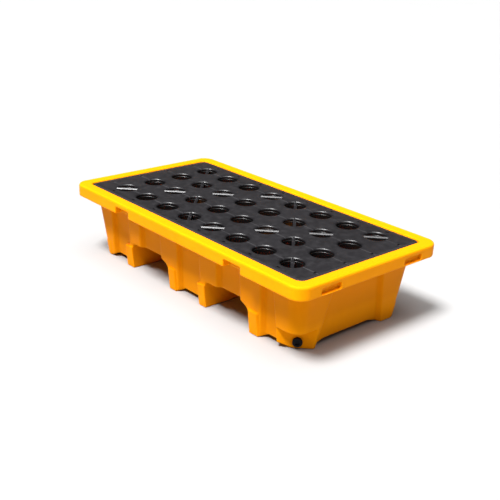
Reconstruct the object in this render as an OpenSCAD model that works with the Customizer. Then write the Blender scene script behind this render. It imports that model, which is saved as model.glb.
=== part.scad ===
// Low spill containment pallet for two drums standing side by side.
// A one-piece moulded sump with fork tunnels, a lift-out grate deck and a screwed drain plug.
// Origin at the floor under the middle; X along the length, Y along the width, Z up. Millimetres.

/* [Sump] */
// Overall length over the rim
pallet_length = 1300; // [1290:5:1380]
// Overall width over the rim
pallet_width = 680; // [670:5:720]
// Overall height, floor to the top of the rim
pallet_height = 290; // [285:5:310]
// Moulded wall thickness
wall = 6; // [5:0.5:7]
// How much the side walls lean outwards per millimetre of height
draft = 0.12; // [0.1:0.01:0.13]
// Depth of the upright flutes in the walls
flute_depth = 16; // [10:1:18]

/* [Rim] */
// Outside corner radius of the rim
rim_corner = 50; // [46:1:70]
// Width of the flat rim band around the deck
rim_band = 46; // [44:1:50]
// Height of the skirt that hangs from the rim
skirt_height = 49; // [44:1:51]
// Length of the notches in the long skirts
side_notch_length = 85; // [70:1:95]
// Length of the recesses in the end skirts
end_notch_length = 88; // [60:1:94]
// Height of the notches and recesses
notch_height = 28; // [24:1:30]
// How far the notches go in
notch_depth = 28; // [18:1:30]
// How far the recesses in the end skirts go in
end_notch_depth = 12; // [8:1:20]

/* [Underside] */
// Width of each fork tunnel
tunnel_width = 236; // [230:1:238]
// Distance of each fork tunnel's middle from the middle of the pallet
tunnel_offset = 226.5; // [225:0.5:228]
// Clear height of the fork tunnels
tunnel_height = 104; // [96:1:106]
// Corner radius at the roof of the fork tunnels, on their +X side
tunnel_corner = 54; // [30:2:60]
// Corner radius at the roof of the fork tunnels, on their -X side
tunnel_tight_corner = 14; // [8:2:30]
// Height of the raised bottom between the feet
belly_height = 16; // [14:1:24]

/* [Grate] */
// Gap between the grate and the rim
grate_gap = 2.5; // [2:0.5:4]
// How far the deck lies below the top of the rim
deck_drop = 3; // [2:0.5:5]
// Overall height of the grate
grate_height = 40; // [36:1:42]
// Thickness of the deck plate
deck_thickness = 5; // [4:0.5:6]
// Spacing of the holes along the length and the width
hole_pitch = 135.6; // [134:0.2:137]
// Hole diameter
hole_diameter = 82; // [76:1:86]
// How far the walls around the holes stay above the bottom of the grate
collar_gap = 2; // [1:1:20]
// Radius that rounds the edge of each hole
lip_radius = 6; // [4:0.5:7]
// Width of the bars that cross some of the holes
bar_width = 12; // [10:1:16]

/* [Drain] */
// Height of the drain above the floor
drain_height = 25; // [24:0.5:28]
// Thread diameter of the drain plug
plug_thread = 26.4; // [25:0.1:27]
// Diameter of the drain plug's head
plug_head = 34; // [32:0.5:38]

/* [Hidden] */
$fn = 96;
cut = 1;

rim_base = pallet_height - skirt_height;
deck_top = pallet_height - deck_drop;
seat_height = deck_top - grate_height;
opening_length = pallet_length - 2 * rim_band;
opening_width = pallet_width - 2 * rim_band;
opening_corner = 25;
seat_width = 22;
seat_thickness = 10;
rim_round = 8;
rim_inner_round = 5;

body_half_length = pallet_length / 2 - 85;
body_half_width = pallet_width / 2 - 84;
body_corner = 50;
corner_pad_top = 56;
runner_pad_top = 90;
corner_pad = 104;
pad_proud = 2;
runner_pad_proud = 7;

tunnel_inner = tunnel_offset - tunnel_width / 2;
tunnel_outer = tunnel_offset + tunnel_width / 2;
runner_inner = tunnel_inner - 40;
runner_outer = tunnel_outer + 46;
corner_foot = 512;
end_foot = 166;
foot_slope = 30;
end_foot_slope = 55;

// Flutes in the long walls: start and end at the floor, then at the rim
long_flutes = [
    [-492, -369, -467, -361],
    [-302, -158, -276, -150],
    [-64, 76, -40, 84],
    [162, 297, 187, 305],
    [394, 478, 414, 470]
];
// Flute in each end wall, in the same order
end_flute = [-165, 165, -115, 115];
// Run of the sloping flute sides
flute_side = 12;

// Hollow posts that carry the middle of the grate: position along and across, base height
post_offset = 95;
post_spots = [
    [-tunnel_offset, -post_offset, tunnel_height],
    [-tunnel_offset, post_offset, tunnel_height],
    [0, -post_offset, belly_height],
    [0, post_offset, belly_height],
    [tunnel_offset, -post_offset, tunnel_height],
    [tunnel_offset, post_offset, tunnel_height]
];
post_top_radius = 30;
post_lean = 0.1;
post_gap = 0.3;

// Middle of each skirt notch on the -Y side and on the +X side; the opposite sides are turned copies
side_notches = [-309, 331];
end_notches = [-201, 197];
notch_lip = wall;

grate_length = opening_length - 2 * grate_gap;
grate_width = opening_width - 2 * grate_gap;
grate_corner = opening_corner - grate_gap;
grate_skirt = 4;
rib = 4;
bar_depth = 18;
columns = 8;
rows = 4;
slot_length = 14;
slot_width = 7;
slot_inset = 25.5;

drain_face = 522;
drain_face_top = 75;
drain_shift = 5;
drain_boss = 10;
plug_clearance = 0.1;
gasket_thickness = 2.5;
gasket_outer = plug_head - 3;
plug_shank = drain_boss + gasket_thickness + 4;
plug_head_thickness = 8;
plug_recess = 16;
plug_recess_depth = 5;

sump_colour = [0.98, 0.72, 0.06];
grate_colour = [0.16, 0.16, 0.17];
plug_colour = [0.06, 0.06, 0.07];
gasket_colour = [0.1, 0.1, 0.1];

// Leaning block with rounded corners, inset by a wall thickness
module leaning_block(inset, z0, z1) {
    length0 = body_half_length + draft * z0 - inset;
    width0 = body_half_width + draft * z0 - inset;
    lean = draft * (z1 - z0);
    r = body_corner - inset;
    translate([0, 0, z0])
        linear_extrude(height = z1 - z0, scale = [1 + lean / length0, 1 + lean / width0], slices = 1)
            polygon([
                for (q = [[1, 1, 0], [-1, 1, 90], [-1, -1, 180], [1, -1, 270]])
                    for (a = [0:10:90])
                        [q[0] * (length0 - r) + r * cos(q[2] + a), q[1] * (width0 - r) + r * sin(q[2] + a)]
            ]);
}

// One flute: f gives the deep face along the wall, base is the wall's distance at the floor,
// grow makes it larger by the wall thickness for the inside
module flute(f, base, grow) {
    low = -20;
    high = seat_height + 20;
    depth = flute_depth + grow;
    reach = 40;
    run = (depth + reach) * flute_side / flute_depth;
    function edge(k, z) = f[k] + (f[k + 2] - f[k]) * z / seat_height;
    function deep(k, z) = edge(k, z) + (k == 0 ? 1 : -1) * (flute_side - grow / 2);
    function wall_at(z) = -base - draft * z;
    polyhedron(
        points = [for (z = [low, high])
            each [
                [deep(0, z) - run, wall_at(z) - reach, z],
                [deep(1, z) + run, wall_at(z) - reach, z],
                [deep(1, z), wall_at(z) + depth, z],
                [deep(0, z), wall_at(z) + depth, z]
            ]],
        faces = [
            [0, 1, 2, 3], [7, 6, 5, 4],
            [0, 4, 5, 1], [2, 6, 7, 3],
            [1, 5, 6], [1, 6, 2],
            [3, 7, 4], [3, 4, 0]
        ]
    );
}

module flutes(grow) {
    for (turn = [0, 180])
        rotate([0, 0, turn]) {
            for (f = long_flutes)
                flute(f, body_half_width, grow);
            rotate([0, 0, 90])
                flute(end_flute, body_half_length, grow);
        }
}

// Leaning fluted body
module body_block(inset, z0, z1) {
    difference() {
        leaning_block(inset, z0, z1);
        flutes(inset);
    }
}

// Upright block with rounded corners, centred in plan
module rounded_block(length, width, r, z0, z1) {
    translate([0, 0, z0]) {
        translate([r - length / 2, -width / 2, 0])
            cube([length - 2 * r, width, z1 - z0]);
        translate([-length / 2, r - width / 2, 0])
            cube([length, width - 2 * r, z1 - z0]);
        for (x = [r - length / 2, length / 2 - r])
            for (y = [r - width / 2, width / 2 - r])
                translate([x, y, 0])
                    cylinder(r = r, h = z1 - z0);
    }
}

// Solid slab under the rim's skin, its top edge rounded
module rim_slab() {
    cx = pallet_length / 2 - rim_corner;
    cy = pallet_width / 2 - rim_corner;
    function edge(r) = [
        [r - 2, rim_base], [r, rim_base + 2],
        for (a = [0:15:90])
            [r - rim_round + rim_round * cos(a), pallet_height - rim_round + rim_round * sin(a)]
    ];
    for (x = [-cx, cx])
        for (y = [-cy, cy])
            translate([x, y, 0])
                rotate_extrude()
                    polygon(concat([[0, rim_base]], edge(rim_corner), [[0, pallet_height]]));
    for (run = [[0, pallet_width / 2, 2 * cx], [90, pallet_length / 2, 2 * cy]])
        rotate([90, 0, 90 + run[0]])
            linear_extrude(height = run[2], center = true)
                polygon(concat(
                    edge(run[1]),
                    [for (i = [8:-1:0]) let (p = edge(run[1])[i]) [-p[0], p[1]]]
                ));
}

// Rounds the edge of the rim above the grate
module rim_mouth() {
    cx = opening_length / 2 - opening_corner;
    cy = opening_width / 2 - opening_corner;
    function edge(r) = [
        [r - 2, pallet_height - rim_inner_round],
        for (a = [180:-30:90])
            [r + rim_inner_round + rim_inner_round * cos(a),
             pallet_height - rim_inner_round + rim_inner_round * sin(a)],
        [r + rim_inner_round, pallet_height + cut], [r - 2, pallet_height + cut]
    ];
    for (q = [[cx, cy, 0], [-cx, cy, 90], [-cx, -cy, 180], [cx, -cy, 270]])
        translate([q[0], q[1], 0])
            rotate([0, 0, q[2]])
                rotate_extrude(angle = 90)
                    polygon(edge(opening_corner));
    for (run = [[0, opening_width / 2, 2 * cx], [90, opening_length / 2, 2 * cy]])
        for (turn = [0, 180])
            rotate([90, 0, 90 + run[0] + turn])
                linear_extrude(height = run[2], center = true)
                    polygon(edge(run[1]));
}

// Hollow rim, open downwards, with the wall and the ledge that hold the grate
module rim() {
    difference() {
        rim_slab();
        rounded_block(
            pallet_length - 2 * wall, pallet_width - 2 * wall, rim_corner - wall,
            rim_base - cut, pallet_height - wall
        );
        rounded_block(opening_length, opening_width, opening_corner, rim_base - cut, pallet_height + cut);
        rim_mouth();
    }
    difference() {
        rounded_block(
            opening_length + 2 * wall, opening_width + 2 * wall, opening_corner + wall,
            seat_height - seat_thickness, pallet_height - wall
        );
        rounded_block(opening_length, opening_width, opening_corner, seat_height, pallet_height);
        rounded_block(
            opening_length - 2 * seat_width, opening_width - 2 * seat_width, opening_corner - seat_width,
            seat_height - seat_thickness - cut, pallet_height
        );
    }
}

// Boxes at the skirt notches: grow 0 gives the space, grow = wall gives the walls around it
module notches(grow) {
    outside = grow > 0 ? -2 : cut;
    depth = notch_depth + grow + outside;
    end_depth = end_notch_depth + grow + outside;
    for (turn = [0, 180])
        rotate([0, 0, turn]) {
            for (x = side_notches)
                translate([x - side_notch_length / 2 - grow, -pallet_width / 2 - outside,
                           rim_base - (grow > 0 ? 0 : cut)])
                    cube([side_notch_length + 2 * grow, depth,
                          notch_height + (grow > 0 ? grow : cut)]);
            for (y = end_notches)
                translate([pallet_length / 2 + outside - end_depth, y - end_notch_length / 2 - grow,
                           rim_base + notch_lip - grow])
                    cube([end_depth, end_notch_length + 2 * grow, notch_height - notch_lip + 2 * grow]);
        }
}

// Fork tunnels right across the width, grown by a wall thickness for the inside
module tunnels(grow) {
    half = tunnel_width / 2 + grow;
    roof = tunnel_height + grow;
    r = tunnel_corner;
    t = tunnel_tight_corner;
    for (s = [-1, 1])
        translate([s * tunnel_offset, 0, 0])
            rotate([90, 0, 0])
                linear_extrude(height = pallet_width, center = true)
                    polygon(concat(
                        [[-half, -cut], [half, -cut]],
                        [for (a = [0:15:90]) [half - r + r * cos(a), roof - r + r * sin(a)]],
                        [for (a = [90:15:180]) [t - half + t * cos(a), roof - t + t * sin(a)]]
                    ));
}

// Space under the raised bottom, between the feet, grown for the inside
module underspaces(grow) {
    top = belly_height + grow;
    run = foot_slope;
    for (s = [-1, 1])
        rotate([90, 0, 0])
            linear_extrude(height = pallet_width, center = true)
                polygon([
                    [s * (runner_outer - grow), -cut],
                    [s * (runner_outer - grow), 0],
                    [s * (runner_outer + run - grow / 2), top],
                    [s * (corner_foot - run + grow / 2), top],
                    [s * (corner_foot + grow), 0],
                    [s * (corner_foot + grow), -cut]
                ]);
    rotate([90, 0, 0])
        linear_extrude(height = pallet_width, center = true)
            polygon([
                [-runner_inner - grow, -cut],
                [-runner_inner - grow, 0],
                [-runner_inner + run - grow / 2, top],
                [runner_inner - run + grow / 2, top],
                [runner_inner + grow, 0],
                [runner_inner + grow, -cut]
            ]);
    for (s = [-1, 1])
        translate([s * (pallet_length / 2 + corner_foot - run) / 2, 0, 0])
            rotate([90, 0, 90])
                linear_extrude(height = pallet_length / 2 - corner_foot + run, center = true)
                    polygon([
                        [-end_foot - grow, -cut],
                        [-end_foot - grow, 0],
                        [-end_foot + end_foot_slope - grow / 2, top],
                        [end_foot - end_foot_slope + grow / 2, top],
                        [end_foot + grow, 0],
                        [end_foot + grow, -cut]
                    ]);
}

// Thicker pads low on the corners and on the ends of the runners
module pads() {
    corner_length = body_half_length - corner_foot + 40;
    intersection() {
        leaning_block(-pad_proud, 0, corner_pad_top);
        for (sx = [-1, 1])
            for (sy = [-1, 1])
                translate([sx * (corner_foot + corner_length / 2), sy * body_half_width, corner_pad_top / 2])
                    cube([corner_length, corner_pad, corner_pad_top], center = true);
    }
    intersection() {
        leaning_block(-runner_pad_proud, 0, runner_pad_top);
        for (sx = [-1, 1])
            for (sy = [-1, 1])
                for (ends = [[tunnel_outer, runner_outer], [runner_inner, tunnel_inner]])
                    translate([sx * (ends[0] + ends[1]) / 2, sy * body_half_width, runner_pad_top / 2])
                        cube([ends[1] - ends[0], 40, runner_pad_top], center = true);
    }
}

// Posts, grown outwards; drop keeps the top short of the grate
module posts(grow, drop) {
    for (p = post_spots)
        translate([p[0], p[1], p[2] - (grow > 0 ? 0 : cut)])
            cylinder(
                r1 = post_top_radius - wall + grow + post_lean * (seat_height - p[2]),
                r2 = post_top_radius - wall + grow,
                h = seat_height - p[2] - drop + (grow > 0 ? 0 : cut)
            );
}

// Frame of the drain: local +Z runs out of the sump on the axis of the drain
module at_drain(out) {
    side = body_half_length - body_half_width;
    rotate([0, 0, -45])
        translate([drain_face, side / sqrt(2) + drain_shift, drain_height])
            rotate([0, 90, 0])
                translate([0, 0, out])
                    children();
}

// Block outside the flat that the drain plug sits on
module drain_flat(setback, top) {
    rotate([0, 0, -45])
        translate([drain_face - setback, (body_half_length - body_half_width) / sqrt(2) - 150, -cut])
            cube([120, 300, top + cut]);
}

module sump_inside() {
    difference() {
        body_block(wall, wall, seat_height - wall);
        tunnels(wall);
        underspaces(wall);
        posts(wall, post_gap);
        drain_flat(drain_boss, drain_face_top + wall);
    }
}

module sump() {
    color(sump_colour)
        difference() {
            union() {
                body_block(0, 0, seat_height);
                pads();
                rim();
                notches(wall);
            }
            sump_inside();
            tunnels(0);
            underspaces(0);
            posts(0, wall);
            difference() {
                rounded_block(
                    opening_length - 2 * seat_width, opening_width - 2 * seat_width,
                    opening_corner - seat_width, seat_height - wall - cut, seat_height + cut
                );
                posts(wall, post_gap);
            }
            notches(0);
            intersection() {
                drain_flat(0, drain_face_top);
                translate([body_half_length - 150, -body_half_width - 50, -cut])
                    cube([200, 200, drain_face_top + cut]);
            }
            at_drain(-drain_boss - 5)
                cylinder(d = plug_thread + 2 * plug_clearance, h = drain_boss + 10);
        }
}

// True where a bar crosses the hole, and its direction in degrees
function bar_angle(i, j) = (i % 4) == j ? 45 : (i % 4) + j == 3 ? -45 : 0;

function hole_x(i) = (i - (columns - 1) / 2) * hole_pitch;
function hole_y(j) = (j - (rows - 1) / 2) * hole_pitch;

// Rounded mouth that is cut from the deck around each hole
module hole_mouth() {
    r = hole_diameter / 2;
    rotate_extrude()
        polygon(concat(
            [[r - 2, -lip_radius], [r, -lip_radius]],
            [for (a = [150:-20:90]) [r + lip_radius + lip_radius * cos(a), lip_radius * (sin(a) - 1)]],
            [[r + lip_radius, cut], [r - 2, cut]]
        ));
}

// Bar across a hole, its top edges eased
module hole_bar() {
    w = bar_width / 2;
    ease = 3;
    rotate([90, 0, 90])
        linear_extrude(height = hole_diameter + 3, center = true)
            polygon([
                [-w, -bar_depth], [w, -bar_depth], [w, -ease - 1], [w - ease, -1],
                [ease - w, -1], [-w, -ease - 1]
            ]);
}

module deck_slots() {
    for (s = [-1, 1]) {
        for (j = [0:rows - 1])
            translate([s * (grate_length / 2 - slot_inset), hole_y(j), deck_top])
                cube([slot_width, slot_length, 2 * grate_height - 8], center = true);
        for (i = [0:columns - 1])
            translate([hole_x(i), s * (grate_width / 2 - slot_inset), deck_top])
                cube([slot_length, slot_width, 2 * grate_height - 8], center = true);
    }
}

module grate_ribs() {
    low = seat_height;
    high = deck_top - deck_thickness + cut;
    for (j = [0:rows - 1])
        translate([0, hole_y(j), (low + high) / 2])
            cube([grate_length - 2, rib, high - low], center = true);
    for (i = [0:columns - 1])
        translate([hole_x(i), 0, (low + high) / 2])
            cube([rib, grate_width - 2, high - low], center = true);
}

module grate() {
    color(grate_colour)
        union() {
            difference() {
                union() {
                    difference() {
                        rounded_block(grate_length, grate_width, grate_corner, seat_height, deck_top);
                        rounded_block(
                            grate_length - 2 * grate_skirt, grate_width - 2 * grate_skirt,
                            grate_corner - grate_skirt, seat_height - cut, deck_top - deck_thickness
                        );
                    }
                    grate_ribs();
                    for (i = [0:columns - 1])
                        for (j = [0:rows - 1])
                            translate([hole_x(i), hole_y(j), seat_height + collar_gap])
                                cylinder(d = hole_diameter + 2 * rib, h = grate_height - collar_gap - 1);
                }
                for (i = [0:columns - 1])
                    for (j = [0:rows - 1]) {
                        translate([hole_x(i), hole_y(j), seat_height - cut])
                            cylinder(d = hole_diameter, h = grate_height + 2 * cut);
                        translate([hole_x(i), hole_y(j), deck_top])
                            hole_mouth();
                    }
                deck_slots();
            }
            for (i = [0:columns - 1])
                for (j = [0:rows - 1])
                    if (bar_angle(i, j) != 0)
                        translate([hole_x(i), hole_y(j), deck_top])
                            rotate([0, 0, bar_angle(i, j)])
                                hole_bar();
        }
}

module drain_plug() {
    color(plug_colour)
        at_drain(0)
            difference() {
                union() {
                    translate([0, 0, gasket_thickness - plug_shank])
                        cylinder(d = plug_thread, h = plug_shank);
                    translate([0, 0, gasket_thickness])
                        cylinder(d = plug_head, h = plug_head_thickness - 2);
                    translate([0, 0, gasket_thickness + plug_head_thickness - 2])
                        cylinder(d1 = plug_head, d2 = plug_head - 4, h = 2);
                }
                translate([0, 0, gasket_thickness + plug_head_thickness - plug_recess_depth / 2 + cut / 2])
                    cube([plug_recess, plug_recess, plug_recess_depth + cut], center = true);
            }
}

module plug_gasket() {
    color(gasket_colour)
        at_drain(0)
            difference() {
                cylinder(d = gasket_outer, h = gasket_thickness);
                translate([0, 0, -cut])
                    cylinder(d = plug_thread + 0.6, h = gasket_thickness + 2 * cut);
            }
}

sump();
grate();
drain_plug();
plug_gasket();
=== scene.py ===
"""Spill containment pallet: the looks and the stage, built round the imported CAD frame.

Metres, in the CAD's frame: X along the pallet, Y across it, Z up from the floor.
"""
import math

import bpy
import bmesh
from mathutils import Matrix, Vector


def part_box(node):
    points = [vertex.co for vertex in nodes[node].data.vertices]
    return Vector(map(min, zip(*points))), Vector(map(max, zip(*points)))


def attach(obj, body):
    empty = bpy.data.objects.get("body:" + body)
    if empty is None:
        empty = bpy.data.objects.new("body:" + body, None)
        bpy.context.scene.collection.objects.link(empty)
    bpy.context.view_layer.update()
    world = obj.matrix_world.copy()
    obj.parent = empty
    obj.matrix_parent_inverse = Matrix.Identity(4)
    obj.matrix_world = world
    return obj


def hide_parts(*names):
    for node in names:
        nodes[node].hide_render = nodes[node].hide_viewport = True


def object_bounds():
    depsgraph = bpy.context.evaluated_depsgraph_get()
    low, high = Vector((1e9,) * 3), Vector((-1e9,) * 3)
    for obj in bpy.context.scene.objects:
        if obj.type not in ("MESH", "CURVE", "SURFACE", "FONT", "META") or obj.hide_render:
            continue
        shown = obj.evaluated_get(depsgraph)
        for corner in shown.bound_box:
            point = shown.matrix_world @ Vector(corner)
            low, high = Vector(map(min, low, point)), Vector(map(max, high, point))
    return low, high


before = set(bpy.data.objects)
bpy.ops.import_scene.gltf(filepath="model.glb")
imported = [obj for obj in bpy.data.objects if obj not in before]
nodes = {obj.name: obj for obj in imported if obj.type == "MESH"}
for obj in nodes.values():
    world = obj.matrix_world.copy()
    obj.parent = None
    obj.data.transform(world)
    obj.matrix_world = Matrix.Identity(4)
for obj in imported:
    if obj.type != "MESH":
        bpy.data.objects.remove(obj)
cad_lo, cad_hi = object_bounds()

# ---------------------------------------------------------------- sizes, metres
MM = 0.001
PITCH = 135.6 * MM  # between hole centres, along and across
COLUMNS, ROWS = 8, 4
HOLE_R = 41 * MM
LIP = 6 * MM  # round of a hole's edge
STEP = 1.6 * MM  # small step inwards in a hole's wall
STEP_DEPTH = 11 * MM
DECK_LO, DECK_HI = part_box("grate")
DECK_TOP = DECK_HI.z
TALL = DECK_TOP - DECK_LO.z
WALL_DEPTH = TALL - 2 * MM
PLATE = 5 * MM  # thickness of the deck between its walls and ribs
DECK_CORNER = 22.5 * MM
EDGE_SHADE_WIDTH = 13 * MM  # width of the painted shade along the deck's rounded border
SLOT_INSET = 25.5 * MM
SLOT_HALF = (3.5 * MM, 7 * MM, 9 * MM)
BAR_LENGTH = 2 * HOLE_R + 5 * MM
RIB_END = 4.1 * MM  # from a rib's end to the deck's edge
RIB_CLEAR = HOLE_R + 0.5 * MM
BEAD_END = 30 * MM
BEAD_CLEAR = HOLE_R + LIP + 1 * MM

RING_POINTS = 96  # points round a hole
SIDE_POINTS = RING_POINTS // 4  # points along one hole spacing
LIP_POINTS = 7
STEP_POINTS = 4

VOXEL = 2.5 * MM
EDGE_PASSES, WALL_PASSES = 6, 22
WALL_TOP = 236 * MM  # below here the sump is softened more
WALL_FADE_FROM, WALL_FADE = 60 * MM, 50 * MM  # heights over which that comes in, from the feet up
FOOT_WEIGHT = 0.25  # how much of it is left at the feet

# Outlines in millimetres: across, up.
WALL_FOOT = [(-1.6, 1.5), (-1.1, 0.4), (0.5, 0), (2.8, 0), (3.7, 0.4), (4, 1.2)]
WALL_ROOT = [(4, -7), (4.8, -5.4), (7, -5), (15, -5)]
SKIRT_TOP = [
    (9, 0), (6, 0), (4.6, -0.25), (3, -0.9), (1.7, -2), (0.8, -3.4), (0.2, -5), (0, -6.6),
]
SKIRT_FOOT = [(0, 1.2), (0.4, 0.3), (1.2, 0), (2.8, 0), (3.6, 0.3), (4, 1.2)]
SKIRT_ROOT = [(4, -7), (4.6, -5.4), (7, -5)]
BAR_SIDE = [(5.2, -18), (6, -17.2), (6, -5.2), (5.6, -4.6), (5, -4), (1.7, -1.15), (0.8, -0.72)]
BAR_TOP = [(0, -0.6)]
RIB_FOOT = [(1.3, 0), (1.85, 0.3), (2, 0.9)]
RIB_TOP = [(2, -4.5)]
BEAD_SIDE = [(1.6, -1), (1.2, 0.15), (0.5, 0.4)]


def column_x(i):
    return (i - (COLUMNS - 1) / 2) * PITCH


def row_y(j):
    return (j - (ROWS - 1) / 2) * PITCH


def metres(points, across=0.0, up=0.0):
    """Points in millimetres turned into metres and moved."""
    return [(across + x * MM, up + z * MM) for x, z in points]


# ---------------------------------------------------------------- node helpers
class Graph:
    """Short way to write a material's nodes."""

    def __init__(self, name):
        self.mat = bpy.data.materials.new(name)
        self.mat.use_nodes = True
        self.tree = self.mat.node_tree
        self.tree.nodes.clear()
        out = self.new("OutputMaterial")
        self.bsdf = self.new("BsdfPrincipled")
        self.tree.links.new(self.bsdf.outputs["BSDF"], out.inputs["Surface"])
        self.coord = self.new("TexCoord").outputs["Object"]

    def new(self, kind):
        return self.tree.nodes.new("ShaderNode" + kind)

    def put(self, socket, value):
        if isinstance(value, bpy.types.NodeSocket):
            self.tree.links.new(value, socket)
        elif isinstance(value, tuple) and len(value) == 3 and socket.type == "RGBA":
            socket.default_value = (*value, 1.0)
        else:
            socket.default_value = value

    def noise(self, scale, detail=3.0, rough=0.55, at=None):
        n = self.new("TexNoise")
        self.put(n.inputs["Vector"], at or self.coord)
        n.inputs["Scale"].default_value = scale
        n.inputs["Detail"].default_value = detail
        n.inputs["Roughness"].default_value = rough
        return n.outputs["Fac"]

    def cells(self, scale):
        n = self.new("TexVoronoi")
        self.put(n.inputs["Vector"], self.coord)
        n.inputs["Scale"].default_value = scale
        return n.outputs["Distance"]

    def stretch(self, sx, sy, sz, turn=0.0):
        n = self.new("Mapping")
        self.put(n.inputs["Vector"], self.coord)
        n.inputs["Scale"].default_value = (sx, sy, sz)
        n.inputs["Rotation"].default_value = (0, 0, turn)
        return n.outputs["Vector"]

    def ramp(self, value, stops):
        """Grey level by value: stops are (value, level)."""
        n = self.new("ValToRGB")
        self.put(n.inputs["Fac"], value)
        elements = n.color_ramp.elements
        for element, (position, level) in zip(elements, stops[:2]):
            element.position = position
            element.color = (level, level, level, 1)
        for position, level in stops[2:]:
            elements.new(position).color = (level, level, level, 1)
        return n.outputs["Color"]

    def math(self, op, a, b=0.0):
        n = self.new("Math")
        n.operation = op
        self.put(n.inputs[0], a)
        self.put(n.inputs[1], b)
        return n.outputs[0]

    def times(self, a, b):
        return self.math("MULTIPLY", a, b)

    def mix(self, fac, a, b):
        """Colour a where fac is 0, colour b where it is 1."""
        n = self.new("Mix")
        n.data_type = "RGBA"
        self.put(n.inputs[0], fac)
        self.put(n.inputs[6], a)
        self.put(n.inputs[7], b)
        return n.outputs[2]

    def blend(self, fac, a, b):
        """Number a where fac is 0, number b where it is 1."""
        n = self.new("Mix")
        self.put(n.inputs[0], fac)
        self.put(n.inputs[2], a)
        self.put(n.inputs[3], b)
        return n.outputs[0]

    def edges(self):
        """Convexity of the surface: above 0.5 on edges, below in hollows."""
        return self.new("NewGeometry").outputs["Pointiness"]

    def split(self, vector):
        n = self.new("SeparateXYZ")
        self.put(n.inputs[0], vector)
        return n.outputs

    def up(self):
        """How far the surface faces up, from -1 to 1."""
        return self.split(self.new("NewGeometry").outputs["Normal"])[2]

    def bump(self, height, distance, after=None):
        n = self.new("Bump")
        self.put(n.inputs["Height"], height)
        n.inputs["Distance"].default_value = distance
        n.inputs["Strength"].default_value = 1.0
        if after is not None:
            self.put(n.inputs["Normal"], after)
        return n.outputs["Normal"]

    def done(self, colour, rough, normal, **constant):
        self.put(self.bsdf.inputs["Base Color"], colour)
        self.put(self.bsdf.inputs["Roughness"], rough)
        self.put(self.bsdf.inputs["Normal"], normal)
        for name, value in constant.items():
            self.bsdf.inputs[name.replace("_", " ")].default_value = value
        return self.mat


# ---------------------------------------------------------------- materials
def yellow_plastic():
    """Rotationally moulded polyethylene: cloudy yellow, with painted shade making the walls under
    the rim darker and more orange, and also darkening up-facing faces and creases.
    """
    g = Graph("moulded_yellow")
    cloud = g.ramp(g.noise(2.2, 4, 0.5), [(0.35, 0), (0.68, 1)])
    mottle = g.noise(14, 5, 0.6)
    pale = g.ramp(mottle, [(0.42, 0), (0.7, 0.2)])
    streak = g.ramp(g.noise(1.0, 3, 0.5, at=g.stretch(30, 30, 2.5)), [(0.5, 0), (0.75, 0.16)])
    # Painted shade under the rim's overhang: full from 110 to 228 mm up, fading out by 240 mm,
    # weaker at the feet.
    walls = g.ramp(
        g.split(g.coord)[2], [(0.085, 0.25), (0.110, 0.6), (0.228, 0.6), (0.240, 0)]
    )
    # Painted shade on up-facing faces: their light toned down to a deeper, less lemon yellow.
    top_shade = g.ramp(g.up(), [(0.75, 0), (0.98, 0.7)])
    # Painted shade in concave creases and recesses.
    crease_shade = g.ramp(g.edges(), [(0.44, 0.6), (0.495, 0)])
    patch = g.ramp(g.noise(60, 3), [(0.45, 0), (0.7, 1)])
    worn = g.times(g.ramp(g.edges(), [(0.52, 0), (0.60, 0.6)]), patch)

    base = g.mix(cloud, (0.86, 0.275, 0.0015), (0.94, 0.325, 0.002))
    base = g.mix(pale, base, (0.99, 0.39, 0.003))
    base = g.mix(streak, base, (0.80, 0.25, 0.002))
    # Painted shade: the walls under the rim, the up-facing faces and the creases.
    base = g.mix(walls, base, (0.72, 0.205, 0.001))
    base = g.mix(top_shade, base, (0.93, 0.262, 0.002))
    base = g.mix(crease_shade, base, (0.60, 0.13, 0.0005))
    base = g.mix(worn, base, (1.0, 0.50, 0.04))

    scuff = g.ramp(g.noise(1.0, 4, 0.7, at=g.stretch(160, 9, 9, 0.5)), [(0.66, 0), (0.74, 1)])
    rough = g.blend(g.ramp(mottle, [(0.3, 0), (0.8, 1)]), 0.38, 0.50)
    rough = g.math("ADD", rough, g.times(scuff, 0.10))
    n = g.bump(g.noise(9, 2, 0.4), 1.0 * MM)
    n = g.bump(g.noise(240, 2, 0.5), 0.14 * MM, after=n)
    n = g.bump(g.cells(900), 0.05 * MM, after=n)
    return g.done(
        base, rough, n, IOR=1.5, Specular_IOR_Level=0.03, Specular_Tint=(1.0, 0.62, 0.10, 1.0)
    )


def off_hole_line(g, value):
    """Distance, in hole spacings, from the nearest line through the hole centres."""
    to_positive = 100.0
    part = g.math("FRACT", g.math("ADD", g.math("DIVIDE", value, PITCH), to_positive))
    return g.math("ABSOLUTE", g.math("SUBTRACT", part, 0.5))


def in_edge_shade(g, value, half):
    """1 in the painted shade along the deck's rounded border, 0 on the rest of its top."""
    past = g.math("SUBTRACT", g.math("ABSOLUTE", value), half - EDGE_SHADE_WIDTH)
    return g.ramp(past, [(0, 0), (0.005, 1)])


def inside(g, value, limit):
    return g.math("LESS_THAN", g.math("ABSOLUTE", value), limit)


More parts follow.
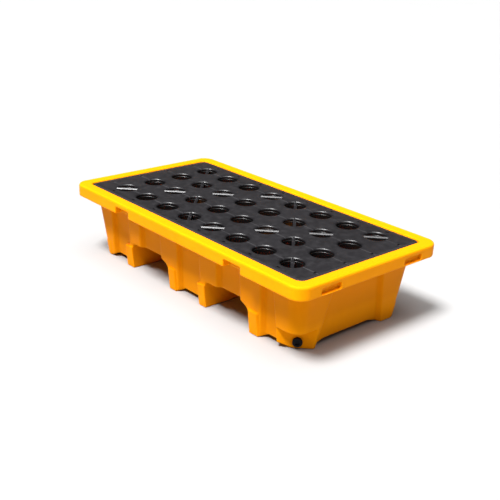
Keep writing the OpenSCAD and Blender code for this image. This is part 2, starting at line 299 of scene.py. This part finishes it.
def black_plastic():
    """Moulded deck: satin black with a fine grain and glossier lips, with painted shade making
    the holes' depths and the rounded border near-black, and painted glints along the row beads.
    """
    g = Graph("moulded_black")
    x, y, z = g.split(g.coord)
    u, v = off_hole_line(g, x), off_hole_line(g, y)
    cloud = g.ramp(g.noise(3.0, 5, 0.6), [(0.35, 0), (0.7, 1)])
    mottle = g.noise(38, 4, 0.65)
    dusty = g.ramp(mottle, [(0.45, 0), (0.75, 0.6)])
    speck = g.ramp(g.noise(420, 2, 0.6), [(0.60, 0), (0.72, 0.35)])
    # Painted glint: lighter lines along each row of holes, where the beads catch the light,
    # broken up by noise.
    bead_glint = g.ramp(v, [(0.006, 1), (0.016, 0)])
    bead_glint = g.times(bead_glint, g.ramp(g.noise(7, 3), [(0.36, 0.15), (0.62, 0.8)]))
    from_hole = g.math("SQRT", g.math("ADD", g.times(u, u), g.times(v, v)))
    lip_edge = (HOLE_R + LIP) / PITCH
    lip = g.ramp(from_hole, [(lip_edge, 1), (lip_edge + 0.02, 0)])
    lip = g.times(lip, inside(g, x, COLUMNS / 2 * PITCH))
    lip = g.times(lip, inside(g, y, ROWS / 2 * PITCH))
    plain = g.math("SUBTRACT", 1.0, lip)
    # Painted shade: the holes near-black from 5 to 9 mm below the deck's top down.
    hole_shade = g.times(lip, g.ramp(g.math("SUBTRACT", DECK_TOP, z), [(0.005, 0), (0.009, 1)]))
    # Painted shade: the deck's rounded border near-black, standing for the shadowed gap next to
    # the rim.
    edge_shade = g.math("MAXIMUM", in_edge_shade(g, x, DECK_HI.x), in_edge_shade(g, y, DECK_HI.y))

    # Near-black of the painted shade in the holes and along the border.
    shade_black = (0.0022, 0.0018, 0.0019)
    base = g.mix(cloud, (0.0050, 0.0044, 0.0054), (0.0088, 0.0079, 0.0095))
    base = g.mix(dusty, base, (0.0180, 0.0165, 0.0190))
    base = g.mix(speck, base, (0.038, 0.036, 0.040))
    # Painted glint along the rows, then near-black painted shade in the holes and on the border.
    base = g.mix(bead_glint, base, (0.062, 0.060, 0.064))
    base = g.mix(hole_shade, base, shade_black)
    base = g.mix(edge_shade, base, shade_black)

    rough = g.blend(g.ramp(mottle, [(0.3, 0), (0.8, 1)]), 0.40, 0.54)
    rough = g.blend(lip, rough, 0.37)
    rough = g.blend(edge_shade, rough, 0.8)
    rough = g.blend(hole_shade, rough, 0.36)
    n = g.bump(g.times(plain, g.noise(12, 2, 0.4)), 0.6 * MM)
    n = g.bump(g.times(plain, g.noise(90, 3, 0.6)), 0.18 * MM, after=n)
    n = g.bump(g.times(plain, g.cells(620)), 0.09 * MM, after=n)
    return g.done(base, rough, n, IOR=1.5, Specular_IOR_Level=0.55)


def plug_plastic():
    g = Graph("plug_black")
    mottle = g.noise(120, 4, 0.6)
    cloud = g.ramp(mottle, [(0.4, 0), (0.7, 1)])
    worn = g.ramp(g.edges(), [(0.53, 0), (0.62, 0.5)])
    base = g.mix(cloud, (0.0035, 0.0035, 0.0060), (0.0075, 0.0075, 0.0110))
    base = g.mix(worn, base, (0.03, 0.03, 0.035))
    rough = g.blend(mottle, 0.40, 0.56)
    n = g.bump(g.cells(1400), 0.08 * MM)
    return g.done(base, rough, n, IOR=1.5, Specular_IOR_Level=0.12)


def seal_rubber():
    g = Graph("seal_rubber")
    mottle = g.noise(200, 4, 0.6)
    cloud = g.ramp(mottle, [(0.4, 0), (0.7, 1)])
    base = g.mix(cloud, (0.016, 0.016, 0.016), (0.034, 0.033, 0.032))
    rough = g.blend(mottle, 0.6, 0.78)
    n = g.bump(g.noise(900, 2), 0.06 * MM)
    return g.done(base, rough, n, IOR=1.45)


def floor_paint():
    g = Graph("studio_floor")
    base = g.mix(g.noise(1.3, 3, 0.5), (0.335, 0.335, 0.335), (0.355, 0.355, 0.355))
    n = g.bump(g.noise(60, 3), 0.4 * MM)
    return g.done(base, 0.75, n)


YELLOW, BLACK = yellow_plastic(), black_plastic()
PLUG, SEAL = plug_plastic(), seal_rubber()


# ---------------------------------------------------------------- mesh helpers
def shade(mesh, sharp_from):
    """Smooth shading, except over edges sharper than an angle in degrees."""
    for p in mesh.polygons:
        p.use_smooth = True
    mesh.set_sharp_from_angle(angle=math.radians(sharp_from))


def show(obj):
    bpy.context.scene.collection.objects.link(obj)
    return obj


def make_object(name, bm, material, sharp_from=40):
    bmesh.ops.recalc_face_normals(bm, faces=bm.faces[:])
    mesh = bpy.data.meshes.new(name)
    bm.to_mesh(mesh)
    bm.free()
    shade(mesh, sharp_from)
    mesh.materials.append(material)
    return show(bpy.data.objects.new(name, mesh))


def apply_modifiers(obj):
    dg = bpy.context.evaluated_depsgraph_get()
    mesh = bpy.data.meshes.new_from_object(obj.evaluated_get(dg))
    old = obj.data
    obj.modifiers.clear()
    obj.data = mesh
    bpy.data.meshes.remove(old)


def paint_node(name, material):
    nodes[name].data.materials.clear()
    nodes[name].data.materials.append(material)


# ---------------------------------------------------------------- sump
def soften(obj, passes, group=""):
    ease = obj.modifiers.new("ease", "SMOOTH")
    ease.factor = 0.5
    ease.iterations = passes
    ease.vertex_group = group


def moulded_copy(node, name, material):
    """A copy of a CAD solid with the soft edges that moulding gives, softest on its walls."""
    obj = show(bpy.data.objects.new(name, nodes[node].data.copy()))
    obj.data.materials.clear()
    remesh = obj.modifiers.new("soft", "REMESH")
    remesh.mode = "VOXEL"
    remesh.voxel_size = VOXEL
    remesh.use_smooth_shade = True
    apply_modifiers(obj)
    walls = obj.vertex_groups.new(name="walls")
    for v in obj.data.vertices:
        if v.co.z < WALL_TOP:
            weight = (v.co.z - WALL_FADE_FROM) / WALL_FADE
            walls.add([v.index], min(1.0, max(FOOT_WEIGHT, weight)), "REPLACE")
    soften(obj, EDGE_PASSES)
    soften(obj, WALL_PASSES, "walls")
    apply_modifiers(obj)
    obj.data.materials.append(material)
    for p in obj.data.polygons:
        p.use_smooth = True
    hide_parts(node)
    return obj


sump = moulded_copy("sump", "sump_shell", YELLOW)
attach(sump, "sump")


# ---------------------------------------------------------------- grate
def quarter(points):
    """Sines and cosines from 0 to 90 degrees."""
    angles = [math.radians(90 * i / points) for i in range(points + 1)]
    return [(math.sin(a), math.cos(a)) for a in angles]


def hole_profile():
    """Distance from the hole's axis and height above the deck, from its top to its underside."""
    edge = HOLE_R + LIP
    path = [(edge + 9 * MM, 0.0), (edge + 1.5 * MM, 0.0)]
    path += [(edge - LIP * s, -LIP + LIP * c) for s, c in quarter(LIP_POINTS)]
    path.append((HOLE_R, -STEP_DEPTH))
    path += [(HOLE_R - STEP * s, -STEP_DEPTH - STEP * (1.6 - c)) for s, c in quarter(STEP_POINTS)]
    path.append((HOLE_R - STEP, -WALL_DEPTH * 3 / 4))
    return path + metres(WALL_FOOT, HOLE_R, -WALL_DEPTH) + metres(WALL_ROOT, HOLE_R)


def square_point(k, half):
    """Point k round a square, from its +X middle, spaced to face the hole's points."""
    side, t = divmod(k + SIDE_POINTS // 2, SIDE_POINTS)
    u = -half + 2 * half * t / SIDE_POINTS
    return [(half, u), (-u, half), (-half, -u), (u, -half)][side % 4]


def field_outline():
    """Points round the field of holes, one for each point of the squares along its edge."""
    a, b = COLUMNS * PITCH / 2, ROWS * PITCH / 2
    step = PITCH / SIDE_POINTS
    along, across = range(COLUMNS * SIDE_POINTS), range(ROWS * SIDE_POINTS)
    loop = [(a, -b + step * k) for k in across] + [(a - step * k, b) for k in along]
    loop += [(-a, b - step * k) for k in across] + [(-a + step * k, -b) for k in along]
    return loop


def on_edge(x, y, inset):
    """A point of the field's outline, moved out to the deck's rounded edge less an inset."""
    half_x, half_y = DECK_HI.x - inset, DECK_HI.y - inset
    px, py = x * half_x / (COLUMNS * PITCH / 2), y * half_y / (ROWS * PITCH / 2)
    r = max(DECK_CORNER - inset, 1 * MM)
    past_x, past_y = abs(px) - (half_x - r), abs(py) - (half_y - r)
    if past_x > 0 and past_y > 0:
        s = r / math.hypot(past_x, past_y)
        px = math.copysign(half_x - r + past_x * s, px)
        py = math.copysign(half_y - r + past_y * s, py)
    return px, py


def bridge(bm, rings, out):
    """Faces between closed rings of points. out turns them the other way round."""
    for a, b in zip(rings, rings[1:]):
        for k in range(len(a)):
            m = (k + 1) % len(a)
            bm.faces.new((a[k], b[k], b[m], a[m]) if out else (a[k], a[m], b[m], b[k]))


def deck_bmesh():
    """The deck: its plate, the walls round its holes and the skirt round its edge."""
    bm = bmesh.new()
    shared = {}

    def seam(points, z):
        """Points that neighbouring squares share."""
        ring = []
        for x, y in points:
            key = (round(x * 1e5), round(y * 1e5), round(z * 1e5))
            if key not in shared:
                shared[key] = bm.verts.new((x, y, z))
            ring.append(shared[key])
        return ring

    def free(points, z):
        return [bm.verts.new((x, y, z)) for x, y in points]

    square = [square_point(k, PITCH / 2) for k in range(RING_POINTS)]
    angles = [math.atan2(y, x) for x, y in square]
    for cx in map(column_x, range(COLUMNS)):
        for cy in map(row_y, range(ROWS)):
            cell = [(cx + x, cy + y) for x, y in square]
            rings = [seam(cell, DECK_TOP)]
            for r, z in hole_profile():
                circle = [(cx + r * math.cos(a), cy + r * math.sin(a)) for a in angles]
                rings.append(free(circle, DECK_TOP + z))
            rings.append(seam(cell, DECK_TOP - PLATE))
            bridge(bm, rings, False)

    loop = field_outline()
    rings = [seam(loop, DECK_TOP)]
    for inset, z in metres(SKIRT_TOP) + metres(SKIRT_FOOT, 0, -TALL) + metres(SKIRT_ROOT):
        rings.append(free([on_edge(x, y, inset) for x, y in loop], DECK_TOP + z))
    rings.append(seam(loop, DECK_TOP - PLATE))
    bridge(bm, rings, True)
    return bm


def at(x, y, turn=0):
    """A place on the deck's top, turned about Z by an angle in degrees."""
    return Matrix.Translation((x, y, DECK_TOP)) @ Matrix.Rotation(math.radians(turn), 4, "Z")


def cut_slots(deck):
    """Small slots along the deck's edge, one beside each row and column of holes."""
    cutter = bmesh.new()
    for s in (-1, 1):
        spots = [(s * (DECK_HI.x - SLOT_INSET), row_y(j), 0) for j in range(ROWS)]
        spots += [(column_x(i), s * (DECK_HI.y - SLOT_INSET), 90) for i in range(COLUMNS)]
        for spot in spots:
            place = at(*spot) @ Matrix.Diagonal((*SLOT_HALF, 1))
            bmesh.ops.create_cube(cutter, size=2, matrix=place)
    slots = make_object("slot_cutter", cutter, BLACK)
    cut = deck.modifiers.new("slots", "BOOLEAN")
    cut.operation = "DIFFERENCE"
    cut.solver = "EXACT"
    cut.object = slots
    apply_modifiers(deck)
    bpy.data.objects.remove(slots)


def whole(side, top=()):
    """A mirrored outline from its +Y side, which goes from the foot up."""
    mirrored = [(-y, z) for y, z in reversed(side)]
    return mirrored[-1:] + side + list(top) + mirrored[:-1]


def prism(bm, section, length, place):
    """Closed prism of a (y, z) section along X, placed by a matrix."""
    ends = []
    for x in (-length / 2, length / 2):
        ends.append([bm.verts.new(place @ Vector((x, y, z))) for y, z in section])
    n = len(section)
    for k in range(n):
        m = (k + 1) % n
        bm.faces.new((ends[0][k], ends[0][m], ends[1][m], ends[1][k]))
    bm.faces.new(ends[0][::-1])
    bm.faces.new(ends[1])


def bar_angle(i, j):
    """Angle of the bar across a hole, in degrees, or 0 for an open hole."""
    if i % 4 == j:
        return 45
    if i % 4 + j == 3:
        return -45
    return 0


def gaps(centres, end, clear):
    """The stretches between holes in a line, from -end to end."""
    return zip([-end] + [c + clear for c in centres], [c - clear for c in centres] + [end])


def add_bars(bm):
    section = whole(metres(BAR_SIDE), metres(BAR_TOP))
    for i in range(COLUMNS):
        for j in range(ROWS):
            if bar_angle(i, j):
                prism(bm, section, BAR_LENGTH, at(column_x(i), row_y(j), bar_angle(i, j)))


def add_lines(bm, section, end, clear, across):
    """Prisms between the holes: along each row, and across each column where asked."""
    columns = [column_x(i) for i in range(COLUMNS)]
    rows = [row_y(j) for j in range(ROWS)]
    for y in rows:
        for a, b in gaps(columns, DECK_HI.x - end, clear):
            prism(bm, section, b - a, at((a + b) / 2, y))
    if across:
        for x in columns:
            for a, b in gaps(rows, DECK_HI.y - end, clear):
                prism(bm, section, b - a, at(x, (a + b) / 2, 90))


def build_grate():
    deck = make_object("grate_deck", deck_bmesh(), BLACK, 50)
    cut_slots(deck)
    bm = bmesh.new()
    bm.from_mesh(deck.data)
    add_bars(bm)
    rib = whole(metres(RIB_FOOT, 0, -TALL) + metres(RIB_TOP))
    add_lines(bm, rib, RIB_END, RIB_CLEAR, True)
    add_lines(bm, whole(metres(BEAD_SIDE)), BEAD_END, BEAD_CLEAR, False)
    mesh = bpy.data.meshes.new("grate_deck_mesh")
    bm.to_mesh(mesh)
    bm.free()
    mesh.materials.append(BLACK)
    shade(mesh, 48)
    deck.data = mesh
    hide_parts("grate")
    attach(deck, "grate")


build_grate()

# ---------------------------------------------------------------- plug and seal
paint_node("drain_plug", PLUG)
paint_node("plug_gasket", SEAL)


# ---------------------------------------------------------------- stage
FLOOR_HALF = 30
FLOOR_GAP = 0.5 * MM
WORLD_LIGHT = 0.07

# The camera was fitted to the photograph. Degrees, then metres from the middle of the deck's top.
CAMERA_AZIMUTH, CAMERA_ELEVATION, CAMERA_ROLL = 47.7925, 21.8573, -2.4132
CAMERA_BACK, CAMERA_RIGHT, CAMERA_DOWN = 3.1971525, 0.0324057, 0.1485455
CAMERA_LENS = 61.42
CAMERA_SHIFT = (-0.0016, 0.0007)


def build_floor():
    bm = bmesh.new()
    bmesh.ops.create_grid(bm, x_segments=2, y_segments=2, size=FLOOR_HALF)
    floor = make_object("floor", bm, floor_paint())
    floor.location.z = cad_lo.z - FLOOR_GAP


def light(name, kind, power):
    data = bpy.data.lights.new(name, kind)
    data.energy = power
    obj = show(bpy.data.objects.new(name, data))
    obj.rotation_mode = "QUATERNION"
    return obj


def area(name, place, aim, width, height, power):
    obj = light(name, "AREA", power)
    obj.data.shape = "RECTANGLE"
    obj.data.size, obj.data.size_y = width, height
    obj.location = place
    obj.rotation_quaternion = (Vector(aim) - Vector(place)).to_track_quat("-Z", "Y")


def towards(azimuth, elevation):
    """Unit vector out from the middle, in degrees: azimuth 0 is -Y, 90 is +X."""
    az, el = math.radians(azimuth), math.radians(elevation)
    return Vector((math.sin(az) * math.cos(el), -math.cos(az) * math.cos(el), math.sin(el)))


def sun(name, azimuth, elevation, power, width):
    """Light from a direction. Width is its angle across, in degrees."""
    obj = light(name, "SUN", power)
    obj.data.angle = math.radians(width)
    obj.rotation_quaternion = towards(azimuth, elevation).to_track_quat("Z", "Y")


def build_lights():
    sun("key", azimuth=4, elevation=66, power=7.2, width=18)
    sun("overhead", azimuth=40, elevation=80, power=2.7, width=56)
    area("fill", place=(3.6, -0.9, 0.9), aim=(0.4, 0, 0.1), width=2.0, height=1.2, power=4)
    world = bpy.data.worlds.new("studio")
    world.use_nodes = True
    background = world.node_tree.nodes["Background"]
    background.inputs["Color"].default_value = (1, 1, 1, 1)
    background.inputs["Strength"].default_value = WORLD_LIGHT
    bpy.context.scene.world = world


def build_camera():
    back = towards(CAMERA_AZIMUTH, CAMERA_ELEVATION)
    azimuth, roll = math.radians(CAMERA_AZIMUTH), math.radians(CAMERA_ROLL)
    level_right = Vector((math.cos(azimuth), math.sin(azimuth), 0))
    level_up = level_right.cross(-back)
    right = level_right * math.cos(roll) - level_up * math.sin(roll)
    up = level_right * math.sin(roll) + level_up * math.cos(roll)
    place = back * CAMERA_BACK + level_right * CAMERA_RIGHT - level_up * CAMERA_DOWN
    data = bpy.data.cameras.new("camera")
    data.sensor_width = 36
    data.lens = CAMERA_LENS
    data.shift_x, data.shift_y = CAMERA_SHIFT
    camera = show(bpy.data.objects.new("camera", data))
    matrix = Matrix((right, up, back)).transposed().to_4x4()
    matrix.translation = place + Vector((0, 0, DECK_TOP))
    camera.matrix_world = matrix
    bpy.context.scene.camera = camera


build_floor()
build_lights()
build_camera()
bpy.context.scene.view_settings.view_transform = "Standard"
